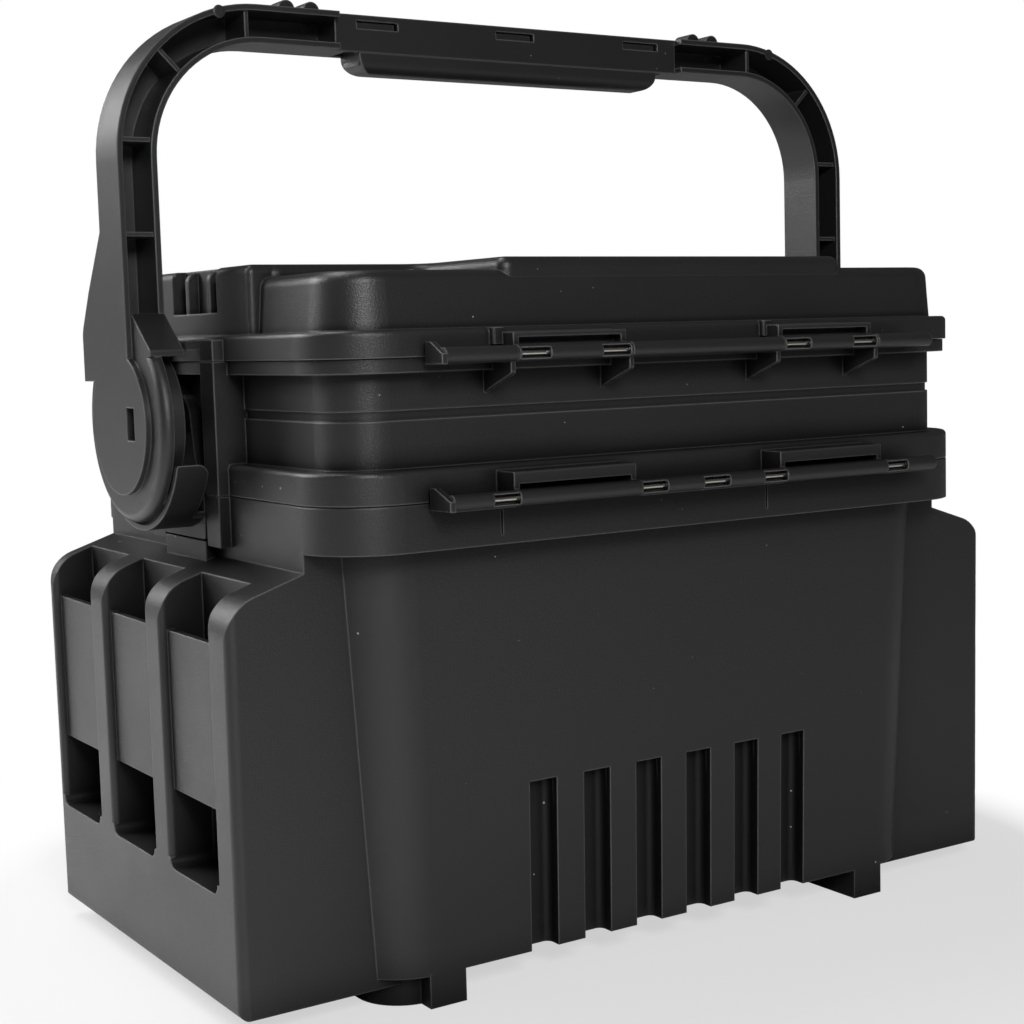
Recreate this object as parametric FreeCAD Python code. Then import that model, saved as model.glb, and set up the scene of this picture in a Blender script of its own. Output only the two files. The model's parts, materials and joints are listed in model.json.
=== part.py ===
"""Fishing seat box: bucket with end pockets, hinged tray, hinged seat lid and swing handle.

Millimetres, +Z up, resting on z = 0. The origin is the bottom centre of the whole box.
The hinges are at the rear, +Y, the latches at the front, -Y, and the handle swings over
the box on an axis along X. One solid, or one group of like solids, is written per node.
"""
import FreeCAD, Part
import math
import os

V = FreeCAD.Vector

# Driving sizes of the bucket
foot_height = 11.0
floor_height = 16.0
floor_thickness = 3.5
wall = 3.2
bucket_bottom_half_length = 177.0
bucket_bottom_half_width = 131.0
bucket_bottom_radius = 34.0
bucket_top_half_length = 187.5
bucket_top_half_width = 136.0
bucket_top_radius = 37.0

# Rim that the bucket, the tray and the lid share
rim_half_length = 200.0
rim_half_width = 152.0
rim_radius = 36.0
skirt = 3.0
rim_bottom = 222.0
rim_top = 244.0
rim_plate = 3.5
rim_edge_radius = 2.4
rim_parting_radius = 0.8
parting_gap = 0.3
band_line_x = (112.5, -48.5)
band_line_width = 0.9
band_line_depth = 1.0
band_line_drop = 4.5

# Middle tray
tray_band_top = 259.5
tray_top = 309.7
tray_floor = 2.8
tray_setback = 10.0
flange_setback = 1.6
flange_height = 6.5
line_bottom = 281.6
line_height = 4.4
line_depth = 1.2

# Top lid
lid_rim_top = 322.5
lid_low_top = 349.5
lid_plateau_top = 355.5
dome_setback = 8.0
dome_draft = 3.0
dome_edge_radius = 6.0
plateau_low_end = -113.0
plateau_notch_x = 102.0
plateau_notch_y = 66.0
end_notch_half_width = 28.0
end_notch_depth = 8.0
end_notch_floor = 333.5
end_panel_half_width = 65.0
end_panel_face = rim_half_length - 4.0
end_panel_round = 4.0
end_panel_overlap = 12.0
end_notch_rib_offset = 13.5
end_notch_rib = 3.0
end_notch_rib_setback = 2.0

# End pocket blocks
block_face = 239.0
block_half_depth_top = 120.5
block_half_depth_bottom = 119.0
block_corner_radius = 4.5
block_shoulder = 200.8
block_shoulder_radius = 20.0
block_top_at_wall = 213.4
pocket_pitch = 76.5
pocket_shift = -7.1
pocket_width = 56.2
pocket_back = 216.0
pocket_floor = 65.2
panel_recess = 4.0
panel_thickness = 3.5
window_top = 103.8
panel_top = 181.9
ridge_round = 3.2

# Rear wall flutes
flute_count = 6
flute_pitch = 32.34
flute_width = 16.0
flute_depth = 8.8
flute_corner = 3.6
flute_top = 101.7

# Feet
foot_inset = 9.0
foot_thickness = 4.0
foot_reach = 50.0
foot_tab_centre = 137.0
foot_tab_width = 20.0

# Hinges
lower_axis_y = rim_half_width + 16.8
lower_axis_z = 244.8
upper_axis_y = rim_half_width + 13.8
upper_axis_z = 310.4
hinge_rod_radius = 1.6
running_clearance = 0.05
barrel_radius = 3.75
rail_half_length = 150.0
rail_end_wall = 1.5
rail_web = 3.0
knuckle_gap = 0.4
tray_knuckle_inner = 45.4
tray_knuckle_outer = 114.8
lid_knuckle_inner = 47.5
lid_knuckle_outer = 111.2
window_length = 16.0
window_height = 4.8
lower_window_centres = (-120.9, -38.5, 0.0, 38.5, 120.9)
upper_window_centres = (56.6, 102.1)
tray_plate_slit = 2.4
tray_plate_height = 5.6
lid_plate_slit = 3.6
lid_plate_height = 2.4
plate_setback = 2.0
plate_side = 3.0
gusset = 2.5
gusset_drop = 5.8
gusset_wall_drop = 15.0
fin_height = 6.5
fin_clearance = 3.0
fin_thickness = 3.0
stud_width = 6.5
stud_reach = 3.0
stud_offset = 2.0

# Swing handle
pivot_z = 280.4
hub_radius = 49.5
hub_edge_radius = 4.5
hub_flange = 6.0
hub_step = 3.2
hub_raised_radius = 35.5
hub_drum_radius = 38.0
hub_drum_gap = 8.5
hub_boss_radius = 25.0
hub_boss_gap = 5.5
leg_gap = 7.5
leg_thickness = 20.5
flare_thickness = 12.0
flare_reach = 44.6
handle_rear_depth = 15.5
handle_front_depth = 13.0
handle_wall = 3.0
bar_top = 486.5
bar_height = 19.0
corner_radius = 77.0
channel_floor = 331.0
grip_half_length = 111.0
grip_face = 9.5
grip_drop = 10.5
grip_end_setback = 14.0
grip_hook_setback = 2.4
grip_slot_pitch = 86.0
grip_slot_width = 24.5
grip_slot_height = 4.0
handle_side_play = 4.5
handle_rib = 2.2
leg_rib_heights = (bar_top - 114.0, bar_top - 68.5)
bar_rib_x = 162.7
nub_positions = (124.5, 138.5)
nub_radius = 4.5
nub_height = 4.5
nub_length = 12.0
nub_front = -2.0

# Handle brackets and pivots
bracket_gap = 0.3
bracket_seam = 0.9
trough_setback = 1.6
tower_thickness = 6.2
tower_radius = 13.0
tower_foot_half_width = 25.5
tower_waist_half_width = 16.5
tower_waist = 262.0
cradle_clearance = 1.5
cradle_wall = 2.8
cradle_top = 261.0
cradle_top_round = 6.0
cradle_front_top = 249.0
trough_gap = 6.5
pin_radius = 7.0
pin_reach = 7.0
pin_head_radius = 9.5
pin_head = 1.5
post_inner_y = 27.0
post_outer_y = 42.5
post_face = rim_half_length + 6.0
post_drop = 3.0
lug_setback = 2.2
lug_ledge_length = 18.0
lug_ledge_height = 4.8
screw_radius = 2.0
screw_head_radius = 4.2
screw_head = 2.6
screw_driver_radius = 1.6
screw_y = 14.0

# Latches
latch_x = 92.0
latch_width = 46.0
latch_axis_y = -rim_half_width - 10.0
lid_latch_axis_z = 293.0
tray_latch_axis_z = 230.0
latch_pin_radius = 1.5
latch_rise = 27.0
latch_barrel_radius = 4.2
latch_thickness = 3.0
latch_ear = 4.0
catch_depth = 3.0
catch_height = 5.0
latch_clearance = 0.4

# Tray dividers
divider_thickness = 1.8
divider_height = 50.0
divider_long_y = -38.0
divider_cross_x = (-110.0, -36.0, 38.0, 112.0)
divider_groove = 1.4
divider_fit = 0.2

# Worked out from the above
rail_outer = lower_axis_y + barrel_radius
tray_bottom = rim_top + parting_gap
lid_bottom = tray_top + parting_gap
bracket_inner = rim_half_length + bracket_gap
tower_outer = bracket_inner + tower_thickness
trough_inner = tower_outer + trough_gap
leg_inner = tower_outer + leg_gap
leg_outer = leg_inner + leg_thickness
hub_outer = leg_outer - hub_step
hub_inner = hub_outer - hub_flange
hub_drum_inner = tower_outer + hub_drum_gap
hub_boss_inner = tower_outer + hub_boss_gap
bracket_outer = hub_outer - trough_setback
pin_tip = leg_inner + pin_reach
mouth_half_length = bucket_top_half_length - wall
mouth_half_width = bucket_top_half_width - wall
mouth_radius = bucket_top_radius - wall


def box(x0, x1, y0, y1, z0, z1):
    """Box between two corners."""
    return Part.makeBox(x1 - x0, y1 - y0, z1 - z0, V(x0, y0, z0))


def rod(x0, x1, y, z, radius):
    """Round bar along X."""
    return Part.makeCylinder(radius, x1 - x0, V(x0, y, z), V(1, 0, 0))


def rounded_wire(points, place):
    """Closed wire through (a, b) or (a, b, radius) points, each corner rounded by its radius."""
    corners = [(p[0], p[1], p[2] if len(p) > 2 else 0.0) for p in points]
    count = len(corners)
    starts = []
    arcs = []
    for i in range(count):
        a, b, radius = corners[i]
        before = corners[i - 1]
        after = corners[(i + 1) % count]
        here = V(a, b, 0)
        back = (V(before[0], before[1], 0) - here).normalize()
        ahead = (V(after[0], after[1], 0) - here).normalize()
        if radius <= 0:
            starts.append((here, here))
            arcs.append(None)
            continue
        half = back.getAngle(ahead) / 2
        reach = radius / math.tan(half)
        middle = here + (back + ahead).normalize() * (radius / math.sin(half) - radius)
        starts.append((here + back * reach, here + ahead * reach))
        arcs.append(middle)
    edges = []
    for i in range(count):
        enter, leave = starts[i]
        if arcs[i] is not None:
            edges.append(Part.Arc(place(enter), place(arcs[i]), place(leave)).toShape())
        following = starts[(i + 1) % count][0]
        if (following - leave).Length > 1e-6:
            edges.append(Part.makeLine(place(leave), place(following)))
    return Part.Wire(edges)


def profile_x(points, x0, x1):
    """Solid with the (y, z) outline, from x0 to x1."""
    wire = rounded_wire(points, lambda p: V(x0, p.x, p.y))
    return Part.Face(wire).extrude(V(x1 - x0, 0, 0))


def profile_y(points, y0, y1):
    """Solid with the (x, z) outline, from y0 to y1."""
    wire = rounded_wire(points, lambda p: V(p.x, y0, p.y))
    return Part.Face(wire).extrude(V(0, y1 - y0, 0))


def profile_z(points, z0, z1):
    """Solid with the (x, y) outline, from z0 to z1."""
    wire = rounded_wire(points, lambda p: V(p.x, p.y, z0))
    return Part.Face(wire).extrude(V(0, 0, z1 - z0))


def outline(half_length, half_width, radius, z):
    """Level wire of a rectangle with round corners, centred on the Z axis."""
    a = half_length
    b = half_width
    points = [(-a, -b, radius), (a, -b, radius), (a, b, radius), (-a, b, radius)]
    return rounded_wire(points, lambda p: V(p.x, p.y, z))


def slab(half_length, half_width, radius, z0, z1):
    """Upright plate with round corners."""
    return Part.Face(outline(half_length, half_width, radius, z0)).extrude(V(0, 0, z1 - z0))


def rim_slab(setback, z0, z1):
    """Plate with the shared rim outline, drawn in by the setback."""
    return slab(rim_half_length - setback, rim_half_width - setback, rim_radius - setback, z0, z1)


def tapered(low, high, z0, z1):
    """Body between two round-cornered rectangles given as (half length, half width, radius)."""
    return Part.makeLoft([outline(*low, z0), outline(*high, z1)], True, True)


def both_ends(shape):
    """The shape and its mirror image at the other end of the box."""
    return [shape, shape.mirror(V(0, 0, 0), V(1, 0, 0))]


def front_and_rear(shape):
    """The shape and its mirror image across the middle of the box."""
    return [shape, shape.mirror(V(0, 0, 0), V(0, 1, 0))]


def four_ways(shape):
    """The shape at all four corners."""
    return [copy for side in both_ends(shape) for copy in front_and_rear(side)]


def save(name, shapes):
    """Write one node, as one solid or as a group of separate solids."""
    group = shapes if isinstance(shapes, list) else [shapes]
    solids = [solid for shape in group for solid in shape.Solids]
    part = solids[0] if len(solids) == 1 else Part.makeCompound(solids)
    part.exportStep("parts/" + name + ".step")
    print(name, len(solids), "solid(s)", round(sum(s.Volume for s in solids) / 1000.0, 1), "cm3")


def wall_taper(inset):
    """The bucket's wall face or its inside, drawn in by the inset, up to the rim plate."""
    low = (
        bucket_bottom_half_length - inset,
        bucket_bottom_half_width - inset,
        bucket_bottom_radius - inset,
    )
    high = (
        bucket_top_half_length - inset,
        bucket_top_half_width - inset,
        bucket_top_radius - inset,
    )
    return low, high


def flute_centres():
    """X of each rear flute, spread evenly about the middle."""
    first = -flute_pitch * (flute_count - 1) / 2
    return [first + flute_pitch * i for i in range(flute_count)]


def flute_face(z):
    """Y of the bucket's rear wall face at a height."""
    share = (z - floor_height) / (rim_bottom - floor_height)
    return bucket_bottom_half_width + share * (bucket_top_half_width - bucket_bottom_half_width)


def flutes():
    """Upright hollows pressed into the rear wall, running out at the bottom."""
    lean = math.degrees(
        math.atan((bucket_top_half_width - bucket_bottom_half_width) / (rim_bottom - floor_height))
    )
    face = flute_face(floor_height)
    half = flute_width / 2
    cuts = []
    for x in flute_centres():
        points = [
            (x - half, face - flute_depth, flute_corner),
            (x + half, face - flute_depth, flute_corner),
            (x + half, face + wall),
            (x - half, face + wall),
        ]
        cut = profile_z(points, foot_height, flute_top)
        cut.rotate(V(x, face, floor_height), V(1, 0, 0), -lean)
        cuts += front_and_rear(cut)
    return cuts


def flute_backs():
    """Thickening inside the wall behind each flute."""
    top = flute_top + wall
    backs = []
    for x in flute_centres():
        half = flute_width / 2 + wall
        front = flute_face(floor_height) - flute_depth - wall
        rear = flute_face(floor_height) - wall / 2
        backs += front_and_rear(box(x - half, x + half, front, rear, floor_height + wall / 2, top))
    return backs


def block_body():
    """Outside of one end block, with the ledge under the handle bracket."""
    inside = bucket_bottom_half_length - 20.0
    side = profile_y(
        [
            (inside, foot_height),
            (block_face, foot_height, 4.0),
            (block_face, block_shoulder, block_shoulder_radius),
            (rim_half_length, block_top_at_wall),
            (rim_half_length, rim_bottom + 1.0),
            (inside, rim_bottom + 1.0),
        ],
        -block_half_depth_top,
        block_half_depth_top,
    )
    low = (block_face, block_half_depth_bottom, block_corner_radius)
    high = (block_face, block_half_depth_top, block_corner_radius)
    body = side.common(tapered(low, high, foot_height, rim_bottom + 1.0))
    ledge = box(
        inside,
        tower_outer,
        -tower_foot_half_width,
        tower_foot_half_width,
        block_shoulder - 8.0,
        rim_bottom - bracket_seam,
    )
    return body.fuse(ledge)


def pocket_centres():
    """Y of the three pockets in an end block."""
    return [pocket_shift + pocket_pitch * i for i in (-1, 0, 1)]


def pocket_cut(y):
    """Everything taken out for one pocket: hollow, window, top opening and panel recess."""
    half = pocket_width / 2
    over = rim_bottom + 5.0
    corner = 5.0
    outside = block_face + 3.5
    panel_face = block_face - panel_recess

    def opening(x0, x1, z0, z1, bottom_radius):
        points = [
            (y - half, z0, bottom_radius),
            (y + half, z0, bottom_radius),
            (y + half, z1),
            (y - half, z1),
        ]
        return profile_x(points, x0, x1)

    hollow = opening(pocket_back, panel_face - panel_thickness, pocket_floor, over, corner)
    window = opening(panel_face - panel_thickness - 1.0, outside, pocket_floor, window_top, corner)
    mouth = opening(panel_face - panel_thickness - 1.0, outside, panel_top, over, 0.0)
    flare = half + ridge_round + 1.0
    recess = profile_z(
        [
            (panel_face, y - half),
            (block_face, y - half, ridge_round),
            (block_face, y - flare),
            (outside, y - flare),
            (outside, y + flare),
            (block_face, y + flare),
            (block_face, y + half, ridge_round),
            (panel_face, y + half),
        ],
        pocket_floor + corner,
        over,
    )
    return [hollow, window, mouth, recess]


def block_cores():
    """Hollows moulded up into one end block from below."""
    half = block_half_depth_bottom - wall - 1.0
    inner = bucket_top_half_length + wall
    outer = block_face - panel_thickness
    under = pocket_floor - floor_thickness
    cores = []
    for y in pocket_centres():
        reach = min(pocket_pitch / 2 - wall / 2, half - abs(y))
        low = y - (pocket_pitch / 2 - wall / 2 if y > -1 else reach)
        high = y + (pocket_pitch / 2 - wall / 2 if y < 1 else reach)
        cores.append(box(inner, outer, low, high, foot_height - 1.0, under))
        back = pocket_back - wall
        cores.append(box(inner, back, low, high, foot_height - 1.0, block_shoulder - wall - 4.0))
    return cores


def feet():
    """Corner feet: an inset skirt round each corner and a tab flush with the wall."""
    inset = foot_inset
    low = wall_taper(inset)[0]
    hole = wall_taper(inset + foot_thickness)[0]
    top = floor_height + 1.0
    ring = slab(*low, 0.0, top).cut(slab(*hole, -1.0, top + 1.0))
    x = bucket_bottom_half_length
    y = bucket_bottom_half_width
    corner = box(foot_tab_centre - foot_tab_width / 2, x, y - foot_reach, y, 0.0, top)
    inner_end = foot_tab_centre - foot_tab_width / 2
    side = box(inner_end, inner_end + foot_thickness, y - foot_reach, y - foot_inset, 0.0, top)
    foot = ring.common(corner).fuse(side)
    tab = box(
        foot_tab_centre - foot_tab_width / 2,
        foot_tab_centre + foot_tab_width / 2,
        y - foot_inset - 1.0,
        y,
        0.0,
        top,
    )
    return four_ways(foot.fuse(tab))


def rim_band(bottom, top, plate, hole, edge_radius):
    """Turned-down rim: a skirt round the outside under a flat plate, open to the hole."""
    band = soften_top(rim_slab(0.0, bottom, top), top, edge_radius)
    under = rim_slab(skirt, bottom - 1.0, top - plate)
    return band.cut(under).cut(hole)


def post(bottom, top):
    """Upright guard post at an end, beside the handle hub, both sides of the middle."""
    inside = rim_half_length - skirt
    return front_and_rear(box(inside, post_face, post_inner_y, post_outer_y, bottom, top))


def rail(axis_y, axis_z, x0, x1, web_top):
    """Hinge barrel from x0 to x1 with the web that ties it to the rim in front of it."""
    barrel = rod(x0, x1, axis_y, axis_z, barrel_radius)
    web = box(x0, x1, rim_half_width - skirt, axis_y, web_top - rail_web, web_top)
    return barrel.fuse(web)


def rod_hole(axis_y, axis_z, x0, x1):
    """Running hole for a hinge rod."""
    return rod(x0, x1, axis_y, axis_z, hinge_rod_radius + running_clearance)


def sight_slot(axis_y, axis_z, x):
    """Opening in a hinge barrel's rear face that shows the rod."""
    half = window_length / 2
    high = window_height / 2
    return box(x - half, x + half, axis_y, axis_y + 6.0, axis_z - high, axis_z + high)


def end_fin(axis_y, axis_z, base):
    """Thin upright plate that closes the hinge rail at its left end."""
    front = rim_half_width + fin_clearance
    points = [
        (front, base),
        (axis_y + barrel_radius, base),
        (axis_y + barrel_radius, axis_z + 1.0),
        (front + 4.0, axis_z + fin_height, 2.0),
        (front, axis_z + fin_height),
    ]
    return profile_x(points, rail_half_length - 0.5, rail_half_length - 0.5 + fin_thickness)


def latch_ears(axis_z, wall_y, height):
    """Two ears that carry a latch pin, standing out from a wall face."""
    ears = []
    for x in (-latch_x, latch_x):
        for side in (-1, 1):
            inner = x + side * (latch_width / 2 + latch_clearance)
            outer = inner + side * latch_ear
            lug = profile_x(
                [
                    (wall_y, axis_z - height),
                    (latch_axis_y - 4.0, axis_z - 4.0, 3.9),
                    (latch_axis_y - 4.0, axis_z + 4.0, 3.9),
                    (wall_y, axis_z + height),
                ],
                min(inner, outer),
                max(inner, outer),
            )
            ears.append(lug)
    return ears


def latch_pin_holes(axis_z):
    """Holes for the two latch pins of one row."""
    span = latch_width / 2 + latch_ear + latch_clearance
    centres = (-latch_x, latch_x)
    return [rod(x - span, x + span, latch_axis_y, axis_z, latch_pin_radius) for x in centres]


def catch(bottom):
    """Low ridge on a rim that a latch closes over."""
    half = latch_width / 2 - 3.0
    ridges = []
    for x in (-latch_x, latch_x):
        points = [
            (-rim_half_width + 1.0, bottom),
            (-rim_half_width - catch_depth, bottom + 1.0, 0.8),
            (-rim_half_width - catch_depth, bottom + catch_height - 1.0, 0.8),
            (-rim_half_width + 1.0, bottom + catch_height),
        ]
        ridges.append(profile_x(points, x - half, x + half))
    return ridges


def band_lines():
    """Two fine upright grooves in the rear of the bucket's rim."""
    half = band_line_width / 2
    low = rim_bottom + band_line_drop
    high = rim_top - band_line_drop
    face = rim_half_width
    return [box(x - half, x + half, face - band_line_depth, face + 1.0, low, high) for x in band_line_x]


def make_base_tub():
    """Bucket with rim, feet, end pocket blocks, flutes and the fixed half of the lower hinge."""
    low, high = wall_taper(0.0)
    tub = tapered(low, high, floor_height, rim_bottom + 1.0)
    mouth = slab(mouth_half_length, mouth_half_width, mouth_radius, rim_bottom - 1.0, rim_top + 1.0)
    collar = slab(*high, rim_bottom, rim_top)
    tub = tub.fuse(collar)
    tub = tub.fuse(rim_band(rim_bottom, rim_top, rim_plate, mouth, rim_parting_radius))
    tub = tub.fuse([body for body in both_ends(block_body())])
    boss_half = tower_foot_half_width - 3.5
    screw_bosses = box(
        mouth_half_length, rim_half_length - 0.5, -boss_half, boss_half, rim_bottom, rim_top - 1.0
    )
    tub = tub.fuse(both_ends(screw_bosses))
    guards = [body for p in post(rim_bottom - post_drop, rim_top) for body in both_ends(p)]
    tub = tub.fuse(guards)
    tub = tub.fuse(feet())
    inside_low, inside_high = wall_taper(wall)
    room = tapered(inside_low, inside_high, floor_height + floor_thickness, rim_bottom)
    tub = tub.cut([room, mouth])
    tub = tub.fuse(flute_backs())
    tub = tub.cut(flutes())
    for cuts in [pocket_cut(y) for y in pocket_centres()] + [block_cores()]:
        for cut in cuts:
            tub = tub.cut(both_ends(cut))
    web_top = rim_top - parting_gap
    spans = [
        (-rail_half_length, -tray_knuckle_outer - knuckle_gap),
        (-tray_knuckle_inner + knuckle_gap, tray_knuckle_inner - knuckle_gap),
        (tray_knuckle_outer + knuckle_gap, rail_half_length),
    ]
    tub = tub.fuse([rail(lower_axis_y, lower_axis_z, x0, x1, web_top) for x0, x1 in spans])
    tub = tub.fuse(end_fin(lower_axis_y, lower_axis_z, rim_top - 3.0))
    tub = tub.cut(band_lines())
    hole_end = rail_half_length - rail_end_wall
    tub = tub.cut(rod_hole(lower_axis_y, lower_axis_z, -hole_end, hole_end))
    tub = tub.cut([sight_slot(lower_axis_y, lower_axis_z, x) for x in lower_window_centres])
    tub = tub.fuse(latch_ears(tray_latch_axis_z, -rim_half_width + 1.0, 7.0))
    tub = tub.cut(latch_pin_holes(tray_latch_axis_z))
    for y in (-screw_y, screw_y):
        hole = rod(mouth_half_length - 5.0, rim_half_length + 1.0, y, screw_height(), screw_radius)
        tub = tub.cut(both_ends(hole))
    return tub.removeSplitter()


def screw_height():
    """Z of the bracket screws, in the middle of the rim band."""
    return (rim_bottom + rim_top) / 2


def tower():
    """Plate that stands on the ledge between the guard posts and carries the pivot pin."""
    foot = tower_foot_half_width
    waist = tower_waist_half_width
    plate = profile_x(
        [
            (-foot, rim_bottom, 1.5),
            (foot, rim_bottom, 1.5),
            (foot, rim_top - 1.0, 3.0),
            (waist, tower_waist, 6.0),
            (tower_radius, pivot_z),
            (-tower_radius, pivot_z),
            (-waist, tower_waist, 6.0),
            (-foot, rim_top - 1.0, 3.0),
        ],
        bracket_inner,
        tower_outer,
    )
    return plate.fuse(rod(bracket_inner, tower_outer, 0.0, pivot_z, tower_radius))


def cradle():
    """Curved trough under the hub: a wide arc outside, tied to the tower over the foot's width."""
    inner = hub_radius + cradle_clearance
    outer = inner + cradle_wall
    arc = rod(tower_outer - 1.0, bracket_outer, 0.0, pivot_z, outer)
    arc = arc.cut(rod(tower_outer - 2.0, bracket_outer + 1.0, 0.0, pivot_z, inner))
    points = [
        (trough_inner, pivot_z - outer - 1.0),
        (bracket_outer, pivot_z - outer - 1.0),
        (bracket_outer, cradle_top, 1.0),
        (trough_inner, cradle_top, cradle_top_round),
    ]
    trough = arc.common(profile_y(points, -outer - 1.0, outer + 1.0))
    front = box(0.0, block_face, -outer - 1.0, -hub_boss_radius, cradle_front_top, cradle_top + 1.0)
    trough = trough.cut(front)
    foot = tower_foot_half_width
    link = arc.common(box(tower_outer - 1.0, trough_inner + 1.0, -foot, foot, 0.0, pivot_z))
    return trough.fuse(link)


def make_bracket():
    """Bracket on the +X end: tower for the pivot pin and trough under the handle's hub."""
    bracket = tower().fuse(cradle())
    bracket = bracket.cut(rod(bracket_inner - 1.0, tower_outer + 1.0, 0.0, pivot_z, pin_radius))
    head = rod(bracket_inner - 1.0, bracket_inner + pin_head, 0.0, pivot_z, pin_head_radius)
    bracket = bracket.cut(head)
    for y in (-screw_y, screw_y):
        hole = rod(bracket_inner - 1.0, tower_outer - 1.0, y, screw_height(), screw_radius)
        bracket = bracket.cut(hole)
    return bracket.removeSplitter()


def make_pivot_pin():
    """Headed pin set in the +X bracket tower; the handle hub turns on it."""
    pin = rod(bracket_inner, pin_tip, 0.0, pivot_z, pin_radius)
    head = rod(bracket_inner, bracket_inner + pin_head, 0.0, pivot_z, pin_head_radius)
    pin = pin.fuse(head)
    tip = Part.makeCone(pin_radius, pin_radius - 1.5, 1.5, V(pin_tip, 0.0, pivot_z), V(1, 0, 0))
    return pin.fuse(tip).removeSplitter()


def make_bracket_screws():
    """Screws from inside the bucket into each bracket."""
    screws = []
    z = screw_height()
    seat = mouth_half_length
    for y in (-screw_y, screw_y):
        shank = rod(seat, tower_outer - 1.5, y, z, screw_radius)
        head = rod(seat - screw_head, seat, y, z, screw_head_radius)
        driver = rod(seat - screw_head, seat - screw_head / 2, y, z, screw_driver_radius)
        screws += both_ends(shank.fuse(head).cut(driver))
    return screws


def make_hinge_rod(axis_y, axis_z):
    """Plain steel rod inside one hinge rail."""
    end = rail_half_length - rail_end_wall - 0.5
    return rod(-end, end, axis_y, axis_z, hinge_rod_radius)


def hinge_arm(axis_y, axis_z, inner, outer, bottom, slit, height):
    """Hinge leaf with a barrel, a plate above it and a slit between the two, at +X."""
    barrel_top = axis_z + barrel_radius
    plate_top = barrel_top + slit + height
    front = rim_half_width - skirt
    arm = profile_x(
        [
            (front, bottom),
            (axis_y, bottom),
            (axis_y, barrel_top),
            (axis_y - plate_setback, barrel_top),
            (axis_y - plate_setback, plate_top, 1.0),
            (front, plate_top),
        ],
        inner,
        outer,
    )
    side = plate_side
    low = barrel_top
    arm = arm.cut(box(inner + side, outer - side, front + 9.0, axis_y + 1.0, low, low + slit))
    return arm.fuse(rod(inner, outer, axis_y, axis_z, barrel_radius))


def make_middle_tray():
    """Shallow tray that closes the bucket, with both hinges, guard posts and divider grooves."""
    middle = rim_slab(tray_setback + 1.0, tray_bottom, tray_top)
    band = rim_band(tray_bottom, tray_band_top, rim_plate, middle, rim_edge_radius)
    body = rim_slab(tray_setback, tray_bottom, tray_top)
    flange = rim_slab(flange_setback, tray_top - flange_height, tray_top)
    tray = body.fuse([band, flange])
    room = rim_slab(tray_setback + wall, tray_bottom + tray_floor, tray_top + 1.0)
    tray = tray.cut(room)
    line_top = line_bottom + line_height
    around = rim_slab(0.0, line_bottom, line_top)
    line = around.cut(rim_slab(tray_setback + line_depth, line_bottom - 1.0, line_top + 1.0))
    tray = tray.cut(line)
    guards = [side for p in tray_posts() for side in both_ends(p)]
    tray = tray.fuse(guards)
    arms = hinge_arm(
        lower_axis_y,
        lower_axis_z,
        tray_knuckle_inner,
        tray_knuckle_outer,
        tray_bottom,
        tray_plate_slit,
        tray_plate_height,
    )
    tray = tray.fuse(both_ends(arms))
    spans = [
        (-rail_half_length, -lid_knuckle_outer - knuckle_gap),
        (-lid_knuckle_inner + knuckle_gap, lid_knuckle_inner - knuckle_gap),
        (lid_knuckle_outer + knuckle_gap, rail_half_length),
    ]
    tray = tray.fuse([rail(upper_axis_y, upper_axis_z, x0, x1, tray_top) for x0, x1 in spans])
    tray = tray.fuse([body for g in tray_gussets() for body in both_ends(g)])
    tray = tray.fuse(end_fin(upper_axis_y, upper_axis_z, tray_top - 3.0))
    hole_end = rail_half_length - rail_end_wall
    tray = tray.cut(rod_hole(upper_axis_y, upper_axis_z, -hole_end, hole_end))
    tray = tray.cut(rod_hole(lower_axis_y, lower_axis_z, -hole_end, hole_end))
    tray = tray.fuse(latch_ears(lid_latch_axis_z, -rim_half_width + tray_setback + 1.0, 7.0))
    tray = tray.cut(latch_pin_holes(lid_latch_axis_z))
    tray = tray.fuse(catch(tray_band_top - 9.0))
    tray = tray.fuse(divider_guides())
    return tray.removeSplitter()


def tray_posts():
    """Guard posts on the +X end of the tray, tied to its wall."""
    inside = rim_half_length - tray_setback - 1.0
    low = tray_bottom
    return front_and_rear(box(inside, post_face, post_inner_y, post_outer_y, low, tray_top))


def tray_gussets():
    """Upright ribs under the tray's upper hinge rail at +X, beside the lid's knuckle."""
    front = rim_half_width - tray_setback - 1.0
    top = tray_top - rail_web + 0.5
    ribs = []
    for x in (lid_knuckle_outer + knuckle_gap, lid_knuckle_inner - knuckle_gap - gusset):
        points = [
            (front, top),
            (front, top - gusset_wall_drop),
            (upper_axis_y, top - gusset_drop, 2.0),
            (upper_axis_y, top),
        ]
        ribs.append(profile_x(points, x, x + gusset))
    return ribs


def divider_guides():
    """Pairs of low ribs on the tray's front and rear walls that hold the cross dividers."""
    floor = tray_bottom + tray_floor
    inside = rim_half_width - tray_setback - wall
    guides = []
    for x in divider_cross_x:
        for side in (-1, 1):
            edge = divider_thickness / 2 + divider_fit
            near = x + side * edge
            far = x + side * (edge + divider_groove)
            low = min(near, far)
            high = max(near, far)
            guide = box(low, high, inside - 3.0, inside + 1.0, floor - 0.5, floor + divider_height - 4.0)
            guides += front_and_rear(guide)
    return guides


def make_divider_long():
    """Long divider across the tray, slotted from above for the cross dividers."""
    floor = tray_bottom + tray_floor
    half = rim_half_length - tray_setback - wall - 3.0
    top = floor + divider_height
    rear = divider_long_y + divider_thickness / 2
    front = rear - divider_thickness
    plate = box(-half, half, front, rear, floor, top)
    slot = divider_thickness / 2 + divider_fit
    for x in divider_cross_x:
        cut = box(x - slot, x + slot, front - 1.0, rear + 1.0, floor + divider_height / 2, top + 1.0)
        plate = plate.cut(cut)
    return plate


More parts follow.
